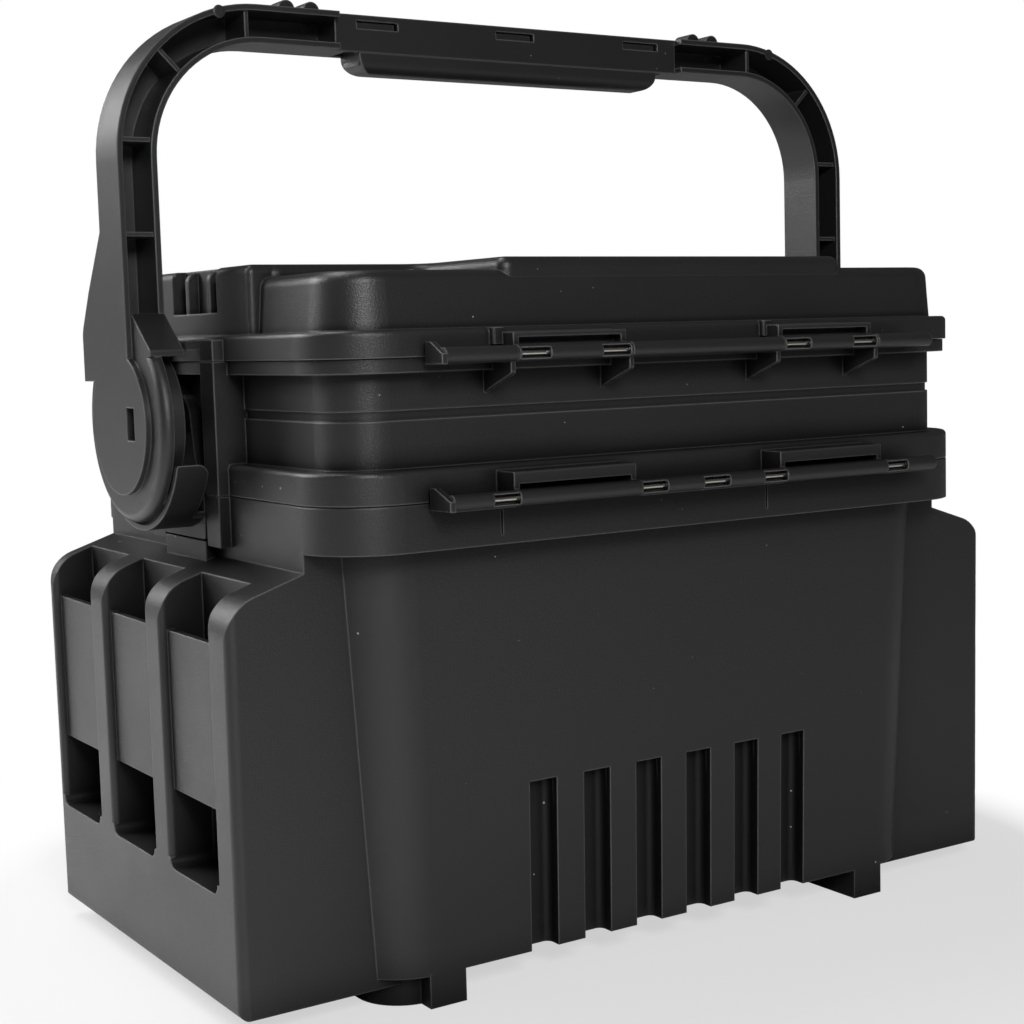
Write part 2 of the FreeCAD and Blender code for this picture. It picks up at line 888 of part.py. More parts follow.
def make_dividers_cross():
    """Cross dividers, slotted from below over the long one."""
    floor = tray_bottom + tray_floor
    half = rim_half_width - tray_setback - wall - divider_fit
    slot = divider_thickness / 2 + divider_fit
    plates = []
    for x in divider_cross_x:
        thick = divider_thickness / 2
        plate = box(x - thick, x + thick, -half, half, floor, floor + divider_height)
        low = divider_long_y - slot
        high = divider_long_y + slot
        half_way = floor + divider_height / 2 + divider_fit
        plates.append(plate.cut(box(x - thick - 1.0, x + thick + 1.0, low, high, floor - 1.0, half_way)))
    return plates


def soften_top(shape, top, radius):
    """Round the edges of a shape's top face."""
    edges = []
    for edge in shape.Edges:
        heights = [v.Z for v in edge.Vertexes]
        if min(heights) > top - 0.01 and max(heights) < top + 0.01:
            edges.append(edge)
    return shape.makeFillet(radius, edges)


def dome(inset, top, edge_radius):
    """Low dome over the whole lid, drawn in by the inset."""
    setback = dome_setback + inset
    low = (rim_half_length - setback, rim_half_width - setback, rim_radius - dome_setback - inset)
    high = (low[0] - dome_draft, low[1] - dome_draft, low[2] - dome_draft)
    return soften_top(tapered(low, high, lid_bottom, top), top, edge_radius)


def plateau(inset, bottom, top, edge_radius):
    """Raised seat area, cut away at the low end and at the rear corner."""
    setback = dome_setback + dome_draft + inset
    a = rim_half_length - setback
    b = rim_half_width - setback
    r = rim_radius - dome_setback - dome_draft - inset
    low_end = plateau_low_end + inset
    notch_x = plateau_notch_x - inset
    notch_y = plateau_notch_y - inset
    shape = profile_z(
        [
            (low_end, -b, edge_radius),
            (a, -b, r),
            (a, notch_y, 10.0),
            (notch_x, notch_y, 10.0),
            (notch_x, b, edge_radius),
            (low_end, b, edge_radius),
        ],
        bottom,
        top,
    )
    return soften_top(shape, top, edge_radius - 1.0)


def end_panel(top):
    """Upright panel on the lid's +X end, round at its corners and over its top."""
    back = rim_half_length - dome_setback - dome_draft - end_panel_overlap
    half = end_panel_half_width
    face = end_panel_face
    points = [(back, -half), (face, -half, 3.0), (face, half, 3.0), (back, half)]
    return soften_top(profile_z(points, lid_rim_top - rim_plate, top), top, end_panel_round)


def notch_space(margin):
    """Room of the end notch at +X, wider and deeper by the margin."""
    back = end_panel_face - end_notch_depth - margin
    half = end_notch_half_width + margin
    return box(back, rim_half_length, -half, half, end_notch_floor - margin, lid_plateau_top + 5.0)


def notch_rib(top):
    """Upright rib in the end notch at +X, beside its middle, round at its outer top corner."""
    back = end_panel_face - end_notch_depth - 1.0
    face = end_panel_face - end_notch_rib_setback
    points = [(back, end_notch_floor - 1.0), (face, end_notch_floor - 1.0), (face, top, 5.0), (back, top)]
    near = end_notch_rib_offset - end_notch_rib / 2
    return front_and_rear(profile_y(points, near, near + end_notch_rib))


def panel_room(top):
    """Hollow behind the end panel at +X, open below and clear of the notch."""
    half = end_panel_half_width - wall
    back = rim_half_length - dome_setback - 2.0 * wall
    room = box(back, end_panel_face - wall, -half, half, lid_bottom - 1.0, top - wall)
    return room.cut(notch_space(wall))


def lid_room():
    """Everything hollow under the lid's dome and raised area."""
    low = dome(wall, lid_low_top - wall, 2.0)
    high = plateau(wall, lid_low_top - 12.0, lid_plateau_top - wall, dome_edge_radius - 1.0)
    return low.fuse(high).cut(both_ends(notch_space(wall)))


def make_top_lid():
    """Seat lid: rim, dome with a raised seat area, end panels, notches, hinge arms and catches."""
    inner = rim_slab(dome_setback + wall, lid_bottom - 1.0, lid_rim_top)
    lid = rim_band(lid_bottom, lid_rim_top, rim_plate, inner, rim_edge_radius)
    lid = lid.fuse(dome(0.0, lid_low_top, dome_edge_radius))
    lid = lid.fuse(plateau(0.0, lid_low_top - 8.0, lid_plateau_top, dome_edge_radius))
    lid = lid.fuse([end_panel(lid_plateau_top), both_ends(end_panel(lid_low_top))[1]])
    lid = lid.cut(lid_room())
    lid = lid.cut([panel_room(lid_plateau_top), both_ends(panel_room(lid_low_top))[1]])
    lid = lid.cut(both_ends(notch_space(0.0)))
    low_ribs = [both_ends(rib)[1] for rib in notch_rib(lid_low_top - 1.0)]
    lid = lid.fuse(notch_rib(lid_plateau_top - 1.0) + low_ribs)
    lid = lid.fuse([body for lug in lid_lugs() for body in both_ends(lug)])
    arm = hinge_arm(
        upper_axis_y,
        upper_axis_z,
        lid_knuckle_inner,
        lid_knuckle_outer,
        lid_bottom,
        lid_plate_slit,
        lid_plate_height,
    )
    lid = lid.fuse(both_ends(arm))
    for x in (lid_knuckle_outer + stud_offset, -lid_knuckle_inner - stud_offset / 2):
        lid = lid.fuse(hinge_stud(x))
    lid = lid.cut(rod_hole(upper_axis_y, upper_axis_z, -rail_half_length, rail_half_length))
    for x in upper_window_centres:
        lid = lid.cut(both_ends(sight_slot(upper_axis_y, upper_axis_z, x)))
    lid = lid.fuse(catch(lid_bottom + 2.0))
    return lid.removeSplitter()


def lid_lugs():
    """End lugs of the lid: a ledge and the top of each guard post."""
    inside = rim_half_length - skirt
    top = lid_rim_top - lug_setback
    near = post_inner_y
    cap = box(inside, post_face, near, post_outer_y, lid_bottom, top)
    ledge = box(inside, post_face - 1.0, near - lug_ledge_length, near + 1.0, top - lug_ledge_height, top)
    return front_and_rear(cap) + front_and_rear(ledge)


def hinge_stud(x):
    """Small upright stud on the lid's rear rim beside a hinge arm."""
    half = stud_width / 2
    face = rim_half_width + stud_reach
    root = rim_half_width - rim_edge_radius
    points = [(x - half, root), (x - half, face, 1.4), (x + half, face, 1.4), (x + half, root)]
    return profile_z(points, upper_axis_z + barrel_radius + 0.6, lid_rim_top)


def arch(half, top, radius, bottom, y0, y1):
    """Upright slab with two round top corners."""
    points = [(-half, bottom), (half, bottom), (half, top, radius), (-half, top, radius)]
    return profile_y(points, y0, y1)


def hub_flare():
    """Shoulder on the front of the leg at +X, wide where it meets the hub."""
    near = -handle_front_depth + 1.0
    low = pivot_z + 20.6
    top = channel_floor + 44.0
    points = [
        (near, top),
        (near - 1.0, top),
        (-0.74 * flare_reach, channel_floor + 15.0, 22.0),
        (-flare_reach, channel_floor - 5.0, 12.0),
        (-flare_reach, low),
        (near, low),
    ]
    return profile_x(points, leg_outer - flare_thickness, leg_outer)


def hub_ramp():
    """Ramp on the rear of the leg at +X that runs out over the hub's rim."""
    near = handle_rear_depth - 1.0
    reach = hub_radius - 12.0
    top = channel_floor + 3.0
    low = channel_floor - 18.0
    points = [(near, top), (near + 1.0, top), (reach, low + 3.0, 1.0), (reach, low, 0.6), (near, low)]
    return profile_x(points, leg_inner, hub_outer)


def make_hub():
    """Round hub at the foot of the +X leg: flange, raised face, drum, boss and shoulders."""
    disc = rod(hub_inner, hub_outer, 0.0, pivot_z, hub_radius)
    rim = [e for e in disc.Edges if len(e.Vertexes) == 1 and abs(e.Vertexes[0].X - hub_outer) < 0.01]
    disc = disc.makeFillet(min(hub_edge_radius, 0.9 * hub_flange), rim)
    raised = rod(hub_outer - 1.0, leg_outer, 0.0, pivot_z, hub_raised_radius)
    drum = rod(hub_drum_inner, hub_inner + 1.0, 0.0, pivot_z, hub_drum_radius)
    boss = rod(hub_boss_inner, hub_drum_inner + 1.0, 0.0, pivot_z, hub_boss_radius)
    return disc.fuse([raised, drum, boss, hub_flare(), hub_ramp()])


def handle_ribs():
    """Cross ribs in the handle's open channel, at +X."""
    y0 = -handle_front_depth + 1.0
    y1 = handle_rear_depth - 2.0
    ribs = []
    for z in leg_rib_heights:
        ribs.append(box(leg_inner + 1.0, leg_outer - 1.0, y0, y1, z - handle_rib / 2, z + handle_rib / 2))
    low = bar_top - bar_height + 1.0
    ribs.append(box(bar_rib_x - handle_rib / 2, bar_rib_x + handle_rib / 2, y0, y1, low, bar_top - 1.0))
    centre_x = leg_outer - corner_radius
    centre_z = bar_top - corner_radius
    reach_in = corner_radius - bar_height + 1.0
    reach_out = corner_radius - 1.0
    half = handle_rib / 2
    diagonal = box(centre_x + reach_in, centre_x + reach_out, y0, y1, centre_z - half, centre_z + half)
    diagonal.rotate(V(centre_x, 0.0, centre_z), V(0, 1, 0), -45.0)
    ribs.append(diagonal)
    return ribs


def make_handle_frame():
    """Handle moulding: an arch with an open-backed channel, a closed bar and two hubs."""
    front = -handle_front_depth
    rear = handle_rear_depth
    bar_bottom = bar_top - bar_height
    inner_radius = corner_radius - bar_height
    outer = arch(leg_outer, bar_top, corner_radius, pivot_z, front, rear)
    gap = arch(leg_inner, bar_bottom, inner_radius, pivot_z - 1.0, front - 1.0, rear + 1.0)
    frame = outer.cut(gap)
    t = handle_wall
    channel = arch(leg_outer - t, bar_top - t, corner_radius - t, channel_floor, front + t, rear + 1.0)
    core = arch(leg_inner + t, bar_bottom + t, inner_radius + t, pivot_z, front, rear + 2.0)
    channel = channel.cut(core)
    grip = grip_half_length
    channel = channel.cut(box(-grip, grip, front, rear + 2.0, bar_bottom - 1.0, bar_top + 1.0))
    frame = frame.cut(channel)
    frame = frame.cut(box(-grip, grip, grip_face, rear + 1.0, bar_bottom - 1.0, bar_top + 1.0))
    room = box(-grip + 7.0, grip - 7.0, front + t, grip_face - t, bar_bottom - 1.0, bar_top - t)
    frame = frame.cut(room)
    for x in (-grip_slot_pitch, 0.0, grip_slot_pitch):
        half = grip_slot_width / 2
        top = bar_top - t
        low = top - grip_slot_height
        frame = frame.cut(box(x - half, x + half, grip_face - t - 1.0, grip_face + 1.0, low, top))
    frame = frame.fuse([body for rib in handle_ribs() for body in both_ends(rib)])
    frame = frame.fuse(both_ends(make_hub()))
    for x in nub_positions:
        place = V(x, nub_front, bar_top - nub_radius + nub_height)
        nub = Part.makeCylinder(nub_radius, nub_length, place, V(0, 1, 0))
        reach = 2.0 * nub_radius
        rear = nub_front + nub_length
        shown = box(x - reach, x + reach, nub_front, rear, bar_top - 1.0, bar_top + reach)
        frame = frame.fuse(both_ends(nub.common(shown)))
    bore = rod(hub_boss_inner - 1.0, leg_outer - 5.0, 0.0, pivot_z, pin_radius + running_clearance)
    frame = frame.cut(both_ends(bore))
    slot = box(leg_outer - 6.0, leg_outer + 1.0, 11.0, 21.5, pivot_z - 8.0, pivot_z + 8.0)
    frame = frame.cut(both_ends(slot))
    frame = frame.removeSplitter()
    frame.translate(V(handle_side_play, 0, 0))
    return frame


def make_handle_grip():
    """Rounded grip clipped up into the underside of the bar by three hooks."""
    bottom = bar_top - bar_height
    half = grip_half_length - grip_end_setback
    y0 = -handle_front_depth + 1.0
    y1 = grip_face - 0.2
    low = bottom - grip_drop
    grip = profile_y([(-half, bottom), (-half, low, 9.5), (half, low, 9.5), (half, bottom)], y0, y1)
    drop = grip_drop + 2.0
    section = [(y0, bottom + 2.0), (y0, low, 8.0), (y1, low, 6.0), (y1, bottom + 2.0)]
    grip = grip.common(profile_x(section, -half, half))
    t = handle_wall
    fit = 0.3
    reach = half - fit
    tongue = box(-reach, reach, y0 - 1.0 + t + fit, grip_face - t - fit, bottom - drop / 2, bottom + 6.0)
    grip = grip.fuse(tongue)
    top = bar_top - t - fit
    for x in (-grip_slot_pitch, 0.0, grip_slot_pitch):
        reach = grip_slot_width / 2 - 1.0
        stem = box(x - reach, x + reach, grip_face - t - fit - 2.5, grip_face - t - fit, bottom, top)
        low = top - grip_slot_height + 2 * fit
        hook = box(x - reach, x + reach, grip_face - t - fit - 1.0, grip_face - grip_hook_setback, low, top)
        grip = grip.fuse([stem, hook])
    grip = grip.removeSplitter()
    grip.translate(V(handle_side_play, 0, 0))
    return grip


def make_latch(x, axis_z):
    """Swing latch: barrel on its pin, plate up over the catch and a flared finger lip."""
    reach = -rim_half_width - catch_depth - latch_clearance
    lip = -rail_outer
    front = latch_axis_y - latch_barrel_radius
    top = axis_z + latch_rise
    points = [
        (front, axis_z),
        (latch_axis_y + latch_barrel_radius, axis_z),
        (reach, axis_z + 9.0, 2.0),
        (reach, top - 3.0, 1.0),
        (reach - 4.0, top),
        (lip, top + 2.0, 0.6),
        (lip, top - 1.0, 0.6),
        (reach - latch_thickness - 4.0, top - 6.0, 4.0),
        (front, axis_z + 6.0, 3.0),
    ]
    half = latch_width / 2
    body = profile_x(points, x - half, x + half)
    body = body.fuse(rod(x - half, x + half, latch_axis_y, axis_z, latch_barrel_radius))
    bore = latch_pin_radius + running_clearance
    body = body.cut(rod(x - half - 1.0, x + half + 1.0, latch_axis_y, axis_z, bore))
    return body.removeSplitter()


def make_latch_pin(x, axis_z):
    """Pin of one latch, held in its two ears."""
    span = latch_width / 2 + latch_ear + latch_clearance
    return rod(x - span, x + span, latch_axis_y, axis_z, latch_pin_radius)


def main():
    """Write every node."""
    os.makedirs("parts", exist_ok=True)
    save("base_tub", make_base_tub())
    brackets = both_ends(make_bracket())
    pins = both_ends(make_pivot_pin())
    for side, bracket, pin in zip(("left", "right"), brackets, pins):
        save("handle_bracket_" + side, bracket)
        save("handle_pivot_pin_" + side, pin)
    save("bracket_screws", make_bracket_screws())
    save("lower_hinge_rod", make_hinge_rod(lower_axis_y, lower_axis_z))
    save("middle_tray", make_middle_tray())
    save("tray_divider_long", make_divider_long())
    save("tray_dividers_cross", make_dividers_cross())
    save("upper_hinge_rod", make_hinge_rod(upper_axis_y, upper_axis_z))
    save("top_lid", make_top_lid())
    save("handle_frame", make_handle_frame())
    save("handle_grip", make_handle_grip())
    rows = (("lid_latch", lid_latch_axis_z), ("tray_latch", tray_latch_axis_z))
    for row, axis_z in rows:
        for side, x in (("left", latch_x), ("right", -latch_x)):
            save(row + "_" + side, make_latch(x, axis_z))
            save(row + "_pin_" + side, make_latch_pin(x, axis_z))


main()
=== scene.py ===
"""Looks of a moulded fishing seat box: satin black plastic, bright hinge rods and a pale studio.

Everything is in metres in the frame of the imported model, +Z up, with the hinges at +Y.
"""
from __future__ import annotations

import json
import logging
import math
from dataclasses import dataclass, field
from enum import Enum

import bpy
import numpy as np
from mathutils import Matrix, Vector
from mathutils.bvhtree import BVHTree

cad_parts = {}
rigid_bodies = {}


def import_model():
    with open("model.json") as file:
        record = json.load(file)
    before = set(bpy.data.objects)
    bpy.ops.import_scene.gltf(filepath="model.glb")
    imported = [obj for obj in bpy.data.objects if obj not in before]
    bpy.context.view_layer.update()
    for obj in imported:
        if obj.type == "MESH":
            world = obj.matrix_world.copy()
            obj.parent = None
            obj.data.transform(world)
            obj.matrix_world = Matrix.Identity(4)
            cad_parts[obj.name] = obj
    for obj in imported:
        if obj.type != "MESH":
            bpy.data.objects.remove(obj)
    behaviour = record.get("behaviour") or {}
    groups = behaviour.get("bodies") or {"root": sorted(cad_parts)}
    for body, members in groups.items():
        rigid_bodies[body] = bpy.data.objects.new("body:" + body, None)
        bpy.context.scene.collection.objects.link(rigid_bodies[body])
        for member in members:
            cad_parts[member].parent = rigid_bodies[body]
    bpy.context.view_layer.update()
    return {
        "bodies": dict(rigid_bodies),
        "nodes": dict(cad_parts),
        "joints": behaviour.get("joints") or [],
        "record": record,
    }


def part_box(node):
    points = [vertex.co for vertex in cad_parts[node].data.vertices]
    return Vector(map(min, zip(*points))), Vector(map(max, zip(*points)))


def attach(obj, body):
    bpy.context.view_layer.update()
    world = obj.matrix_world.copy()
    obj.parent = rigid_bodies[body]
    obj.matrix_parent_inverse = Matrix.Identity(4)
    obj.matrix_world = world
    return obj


LOG = logging.getLogger("seat_box")
MM = 0.001
UP = Vector((0.0, 0.0, 1.0))
DOWN = -UP
REARWARD = Vector((0.0, 1.0, 0.0))
FORWARD = -REARWARD

WHITE = (1.0, 1.0, 1.0, 1.0)

Colour = tuple[float, float, float]
Place = tuple[float, float, float]
Surface = tuple[np.ndarray, list[tuple[int, ...]]]


class Slot(Enum):
    """Material slots of the record, named for the new pieces but not applied to them."""

    MOULDING = "black_moulding"
    LATCH = "black_latch"


class Body(Enum):
    """Moving bodies of the frame that new pieces ride on."""

    BASE = "bucket"
    TRAY = "tray"
    LID = "lid"
    HANDLE = "handle"


class Links:
    """Small helper that adds nodes to a tree and joins them."""

    def __init__(self, tree: bpy.types.NodeTree) -> None:
        """Keeps the tree.

        Args:
            tree: the node tree to build in.
        """
        self.tree = tree

    def add(self, kind: str, **values: object) -> bpy.types.Node:
        """Adds one node.

        Args:
            kind: the node's Blender type name.
            values: attributes of the node, or numbers for its input sockets.

        Returns:
            The new node.
        """
        node = self.tree.nodes.new(kind)
        for name, value in values.items():
            if hasattr(node, name):
                setattr(node, name, value)
            else:
                node.inputs[name.replace("_", " ")].default_value = value
        return node

    def join(self, out: bpy.types.NodeSocket, into: bpy.types.NodeSocket) -> None:
        """Joins an output socket to an input socket."""
        self.tree.links.new(out, into)

    def math(
        self, operation: str, first: object, second: object = 0.0, clamp: bool = False
    ) -> bpy.types.NodeSocket:
        """Adds a Math node on two sockets or numbers.

        Args:
            operation: the node's operation.
            first: a socket or a number.
            second: a socket or a number.
            clamp: keeps the result between 0 and 1.

        Returns:
            The node's result.
        """
        node = self.tree.nodes.new("ShaderNodeMath")
        node.operation = operation
        node.use_clamp = clamp
        for socket, value in zip(node.inputs, (first, second)):
            if isinstance(value, bpy.types.NodeSocket):
                self.join(value, socket)
            else:
                socket.default_value = value
        return node.outputs[0]


def new_group(
    name: str, inputs: dict[str, float], outputs: dict[str, str]
) -> tuple[bpy.types.NodeTree, Links]:
    """Makes an empty shader group.

    Args:
        name: the group's name.
        inputs: each input's name and starting value.
        outputs: each output's name and socket type.

    Returns:
        The group and a helper for its nodes.
    """
    tree = bpy.data.node_groups.new(name, "ShaderNodeTree")
    for key, value in inputs.items():
        socket = tree.interface.new_socket(name=key, in_out="INPUT", socket_type="NodeSocketFloat")
        socket.default_value = value
    for key, kind in outputs.items():
        tree.interface.new_socket(name=key, in_out="OUTPUT", socket_type=kind)
    return tree, Links(tree)


def mould_grain() -> bpy.types.NodeTree:
    """Shared group: the fine leather-like grain of a spark-eroded mould.

    A fine noise gives the grain, a broad one the slow change of gloss where the plastic cooled
    unevenly, and the group puts out a height and a gloss value.

    Returns:
        The group.
    """
    tree, links = new_group(
        "mould_grain",
        {"Grain Scale": 1800.0, "Cloud Scale": 14.0},
        {"Height": "NodeSocketFloat", "Cloud": "NodeSocketFloat"},
    )
    given = links.add("NodeGroupInput")
    put = links.add("NodeGroupOutput")
    place = links.add("ShaderNodeTexCoord")
    grain = links.add("ShaderNodeTexNoise", Detail=3.0, Roughness=0.62)
    cloud = links.add("ShaderNodeTexNoise", Detail=4.0, Roughness=0.55)
    for noise, key in ((grain, "Grain Scale"), (cloud, "Cloud Scale")):
        links.join(place.outputs["Object"], noise.inputs["Vector"])
        links.join(given.outputs[key], noise.inputs["Scale"])
    links.join(grain.outputs["Fac"], put.inputs["Height"])
    links.join(cloud.outputs["Fac"], put.inputs["Cloud"])
    return tree


def dust_specks() -> bpy.types.NodeTree:
    """Shared group: a few small pale specks.

    Cells of a Voronoi pattern each hold one dot. One random value of the cell picks the few that
    show, and another gives their size.

    Returns:
        The group.
    """
    tree, links = new_group(
        "dust_specks",
        {"Scale": 160.0, "Dot Size": 0.10, "Share": 0.03},
        {"Mask": "NodeSocketFloat"},
    )
    given = links.add("NodeGroupInput")
    put = links.add("NodeGroupOutput")
    place = links.add("ShaderNodeTexCoord")
    cells = links.add("ShaderNodeTexVoronoi")
    links.join(place.outputs["Object"], cells.inputs["Vector"])
    links.join(given.outputs["Scale"], cells.inputs["Scale"])
    parts = links.add("ShaderNodeSeparateColor")
    links.join(cells.outputs["Color"], parts.inputs["Color"])
    picked = links.math("LESS_THAN", parts.outputs["Red"], given.outputs["Share"])
    size = links.math("MULTIPLY", given.outputs["Dot Size"], parts.outputs["Green"])
    dot = links.math("LESS_THAN", cells.outputs["Distance"], size)
    links.join(links.math("MULTIPLY", picked, dot), put.inputs["Mask"])
    return tree


def edge_highlight() -> bpy.types.NodeTree:
    """Shared group: a painted highlight along edges, with a softened normal.

    The Bevel node's normal turns near an edge; how far it leaves the plain one gives the mask of the
    painted highlight.

    Returns:
        The group.
    """
    tree, links = new_group(
        "edge_highlight",
        {"Radius": 0.0007, "Gain": 4.5},
        {"Mask": "NodeSocketFloat", "Normal": "NodeSocketVector"},
    )
    given = links.add("NodeGroupInput")
    put = links.add("NodeGroupOutput")
    bevel = links.add("ShaderNodeBevel", samples=4)
    links.join(given.outputs["Radius"], bevel.inputs["Radius"])
    shape = links.add("ShaderNodeNewGeometry")
    along = links.add("ShaderNodeVectorMath", operation="DOT_PRODUCT")
    links.join(bevel.outputs["Normal"], along.inputs[0])
    links.join(shape.outputs["Normal"], along.inputs[1])
    away = links.math("SUBTRACT", 1.0, along.outputs["Value"])
    links.join(links.math("MULTIPLY", away, given.outputs["Gain"], clamp=True), put.inputs["Mask"])
    links.join(bevel.outputs["Normal"], put.inputs["Normal"])
    return tree


def painted_cavity_shade() -> bpy.types.NodeTree:
    """Shared group: painted shade from how open a point is, so that pockets and seams go dark.

    Short rays from the point count what stands near it, and a power curve sharpens the result.

    Returns:
        The group.
    """
    tree, links = new_group(
        "painted_cavity_shade",
        {"Distance": 0.012, "Power": 1.5},
        {"Open": "NodeSocketFloat"},
    )
    given = links.add("NodeGroupInput")
    put = links.add("NodeGroupOutput")
    near = links.add("ShaderNodeAmbientOcclusion", samples=4)
    links.join(given.outputs["Distance"], near.inputs["Distance"])
    links.join(links.math("POWER", near.outputs["AO"], given.outputs["Power"]), put.inputs["Open"])
    return tree


@dataclass(frozen=True)
class MouldedPlastic:
    """Satin moulded plastic: grain, uneven gloss, a painted highlight on edges, painted shade in
    cavities, and dust.
    """

    name: str
    colour: Colour
    # colour of the painted highlight along edges
    highlight_colour: Colour
    roughness: float = 0.36
    roughness_spread: float = 0.10
    grain_scale: float = 1300.0
    grain_strength: float = 0.45
    grain_height: float = 0.4 * MM
    edge_radius: float = 1.2 * MM
    dust_share: float = 0.08
    dust_colour: Colour = (0.35, 0.34, 0.32)
    # reach and colour of the painted shade in pockets and seams
    shade_reach: float = 12.0 * MM
    shade_colour: Colour = (0.003, 0.003, 0.003)
    refraction: float = 1.49
    shine: float = 0.6

    def build(self, groups: dict[str, bpy.types.NodeTree]) -> bpy.types.Material:
        """Makes the material.

        Args:
            groups: the shared shader groups by name.

        Returns:
            The material.
        """
        material = bpy.data.materials.new(self.name)
        material.use_nodes = True
        material.node_tree.nodes.clear()
        links = Links(material.node_tree)
        surface = links.add("ShaderNodeBsdfPrincipled")
        surface.inputs["IOR"].default_value = self.refraction
        out = links.add("ShaderNodeOutputMaterial")
        links.join(surface.outputs["BSDF"], out.inputs["Surface"])
        grain = links.add("ShaderNodeGroup", node_tree=groups["mould_grain"])
        grain.inputs["Grain Scale"].default_value = self.grain_scale
        edges = links.add("ShaderNodeGroup", node_tree=groups["edge_highlight"])
        edges.inputs["Radius"].default_value = self.edge_radius
        open_air = links.add("ShaderNodeGroup", node_tree=groups["painted_cavity_shade"])
        open_air.inputs["Distance"].default_value = self.shade_reach
        dust = links.add("ShaderNodeGroup", node_tree=groups["dust_specks"])
        dust.inputs["Share"].default_value = self.dust_share
        self.paint(links, surface, edges, open_air, dust)
        self.shine_up(links, surface, grain, open_air)
        self.roughen(links, surface, grain, edges)
        return material

    def paint(
        self,
        links: Links,
        surface: bpy.types.Node,
        edges: bpy.types.Node,
        open_air: bpy.types.Node,
        dust: bpy.types.Node,
    ) -> None:
        """Mixes the plain colour, the painted edge highlight, the painted cavity shade and the dust
        colour into the base colour.

        Args:
            links: helper of the material's tree.
            surface: the Principled node.
            edges: the group with the mask of the painted edge highlight.
            open_air: the group that says how open a point is.
            dust: the group with the mask of specks.
        """
        # painted highlight: the edge mask lightens the colour towards the edge colour
        edge_lit = links.add("ShaderNodeMix", data_type="RGBA")
        edge_lit.inputs["A"].default_value = (*self.colour, 1.0)
        edge_lit.inputs["B"].default_value = (*self.highlight_colour, 1.0)
        links.join(edges.outputs["Mask"], edge_lit.inputs["Factor"])
        # painted shade: shut-in places darken towards a near-black colour
        shade_mix = links.add("ShaderNodeMix", data_type="RGBA")
        shade_mix.inputs["A"].default_value = (*self.shade_colour, 1.0)
        links.join(open_air.outputs["Open"], shade_mix.inputs["Factor"])
        links.join(edge_lit.outputs["Result"], shade_mix.inputs["B"])
        speck = links.add("ShaderNodeMix", data_type="RGBA")
        speck.inputs["B"].default_value = (*self.dust_colour, 1.0)
        links.join(shade_mix.outputs["Result"], speck.inputs["A"])
        links.join(dust.outputs["Mask"], speck.inputs["Factor"])
        links.join(speck.outputs["Result"], surface.inputs["Base Color"])

    def shine_up(
        self, links: Links, surface: bpy.types.Node, grain: bpy.types.Node, open_air: bpy.types.Node
    ) -> None:
        """Varies the roughness slowly over the piece and lowers the shine in cavities as painted shade.

        Args:
            links: helper of the material's tree.
            surface: the Principled node.
            grain: the group with the slow cloud.
            open_air: the group that says how open a point is.
        """
        # painted shade: the specular level falls with how open the point is
        level = links.math("MULTIPLY", open_air.outputs["Open"], self.shine)
        links.join(level, surface.inputs["Specular IOR Level"])
        spread = links.math("MULTIPLY", grain.outputs["Cloud"], self.roughness_spread * 2.0)
        rough = links.math("ADD", spread, self.roughness - self.roughness_spread)
        links.join(rough, surface.inputs["Roughness"])

    def roughen(
        self, links: Links, surface: bpy.types.Node, grain: bpy.types.Node, edges: bpy.types.Node
    ) -> None:
        """Raises the fine grain over the softened edges.

        Args:
            links: helper of the material's tree.
            surface: the Principled node.
            grain: the group with the grain's height.
            edges: the group with the softened normal.
        """
        bump = links.add("ShaderNodeBump", Strength=self.grain_strength, Distance=self.grain_height)
        links.join(grain.outputs["Height"], bump.inputs["Height"])
        links.join(edges.outputs["Normal"], bump.inputs["Normal"])
        links.join(bump.outputs["Normal"], surface.inputs["Normal"])


@dataclass(frozen=True)
class DrawnSteel:
    """Bright drawn steel with fine lines along the rod."""

    name: str
    colour: Colour
    roughness: float = 0.10
    roughness_spread: float = 0.25
    line_scale: tuple[float, float, float] = (60.0, 3000.0, 3000.0)
    line_shade: float = 0.7

    def build(self) -> bpy.types.Material:
        """Makes the material; the lines, long in X, vary its roughness and colour.

        Returns:
            The material.
        """
        material = bpy.data.materials.new(self.name)
        material.use_nodes = True
        links = Links(material.node_tree)
        surface = material.node_tree.nodes["Principled BSDF"]
        surface.inputs["Metallic"].default_value = 1.0
        place = links.add("ShaderNodeTexCoord")
        stretch = links.add("ShaderNodeMapping")
        stretch.inputs["Scale"].default_value = self.line_scale
        lines = links.add("ShaderNodeTexNoise", Scale=1.0, Detail=2.0)
        links.join(place.outputs["Object"], stretch.inputs["Vector"])
        links.join(stretch.outputs["Vector"], lines.inputs["Vector"])
        level = links.math("MULTIPLY", lines.outputs["Fac"], self.roughness_spread)
        links.join(links.math("ADD", level, self.roughness), surface.inputs["Roughness"])
        tint = links.add("ShaderNodeMix", data_type="RGBA")
        tint.inputs["A"].default_value = (*self.colour, 1.0)
        tint.inputs["B"].default_value = (*[part * self.line_shade for part in self.colour], 1.0)
        links.join(lines.outputs["Fac"], tint.inputs["Factor"])
        links.join(tint.outputs["Result"], surface.inputs["Base Color"])
        return material


@dataclass(frozen=True)
class Lamp:
    """One soft lamp: where it stands, its width and height, its power and what it faces."""

    name: str
    place: Place
    size: tuple[float, float]
    power: float
    aim: Place = (0.0, 0.0, 0.2)

    def build(self) -> None:
        """Adds the lamp to the scene."""
        light = bpy.data.lights.new(self.name, "AREA")
        light.shape = "RECTANGLE"
        light.size, light.size_y = self.size
        light.energy = self.power
        lamp = bpy.data.objects.new(self.name, light)
        lamp.location = self.place
        lamp.rotation_euler = (Vector(self.aim) - Vector(self.place)).to_track_quat("-Z", "Y").to_euler()
        bpy.context.scene.collection.objects.link(lamp)


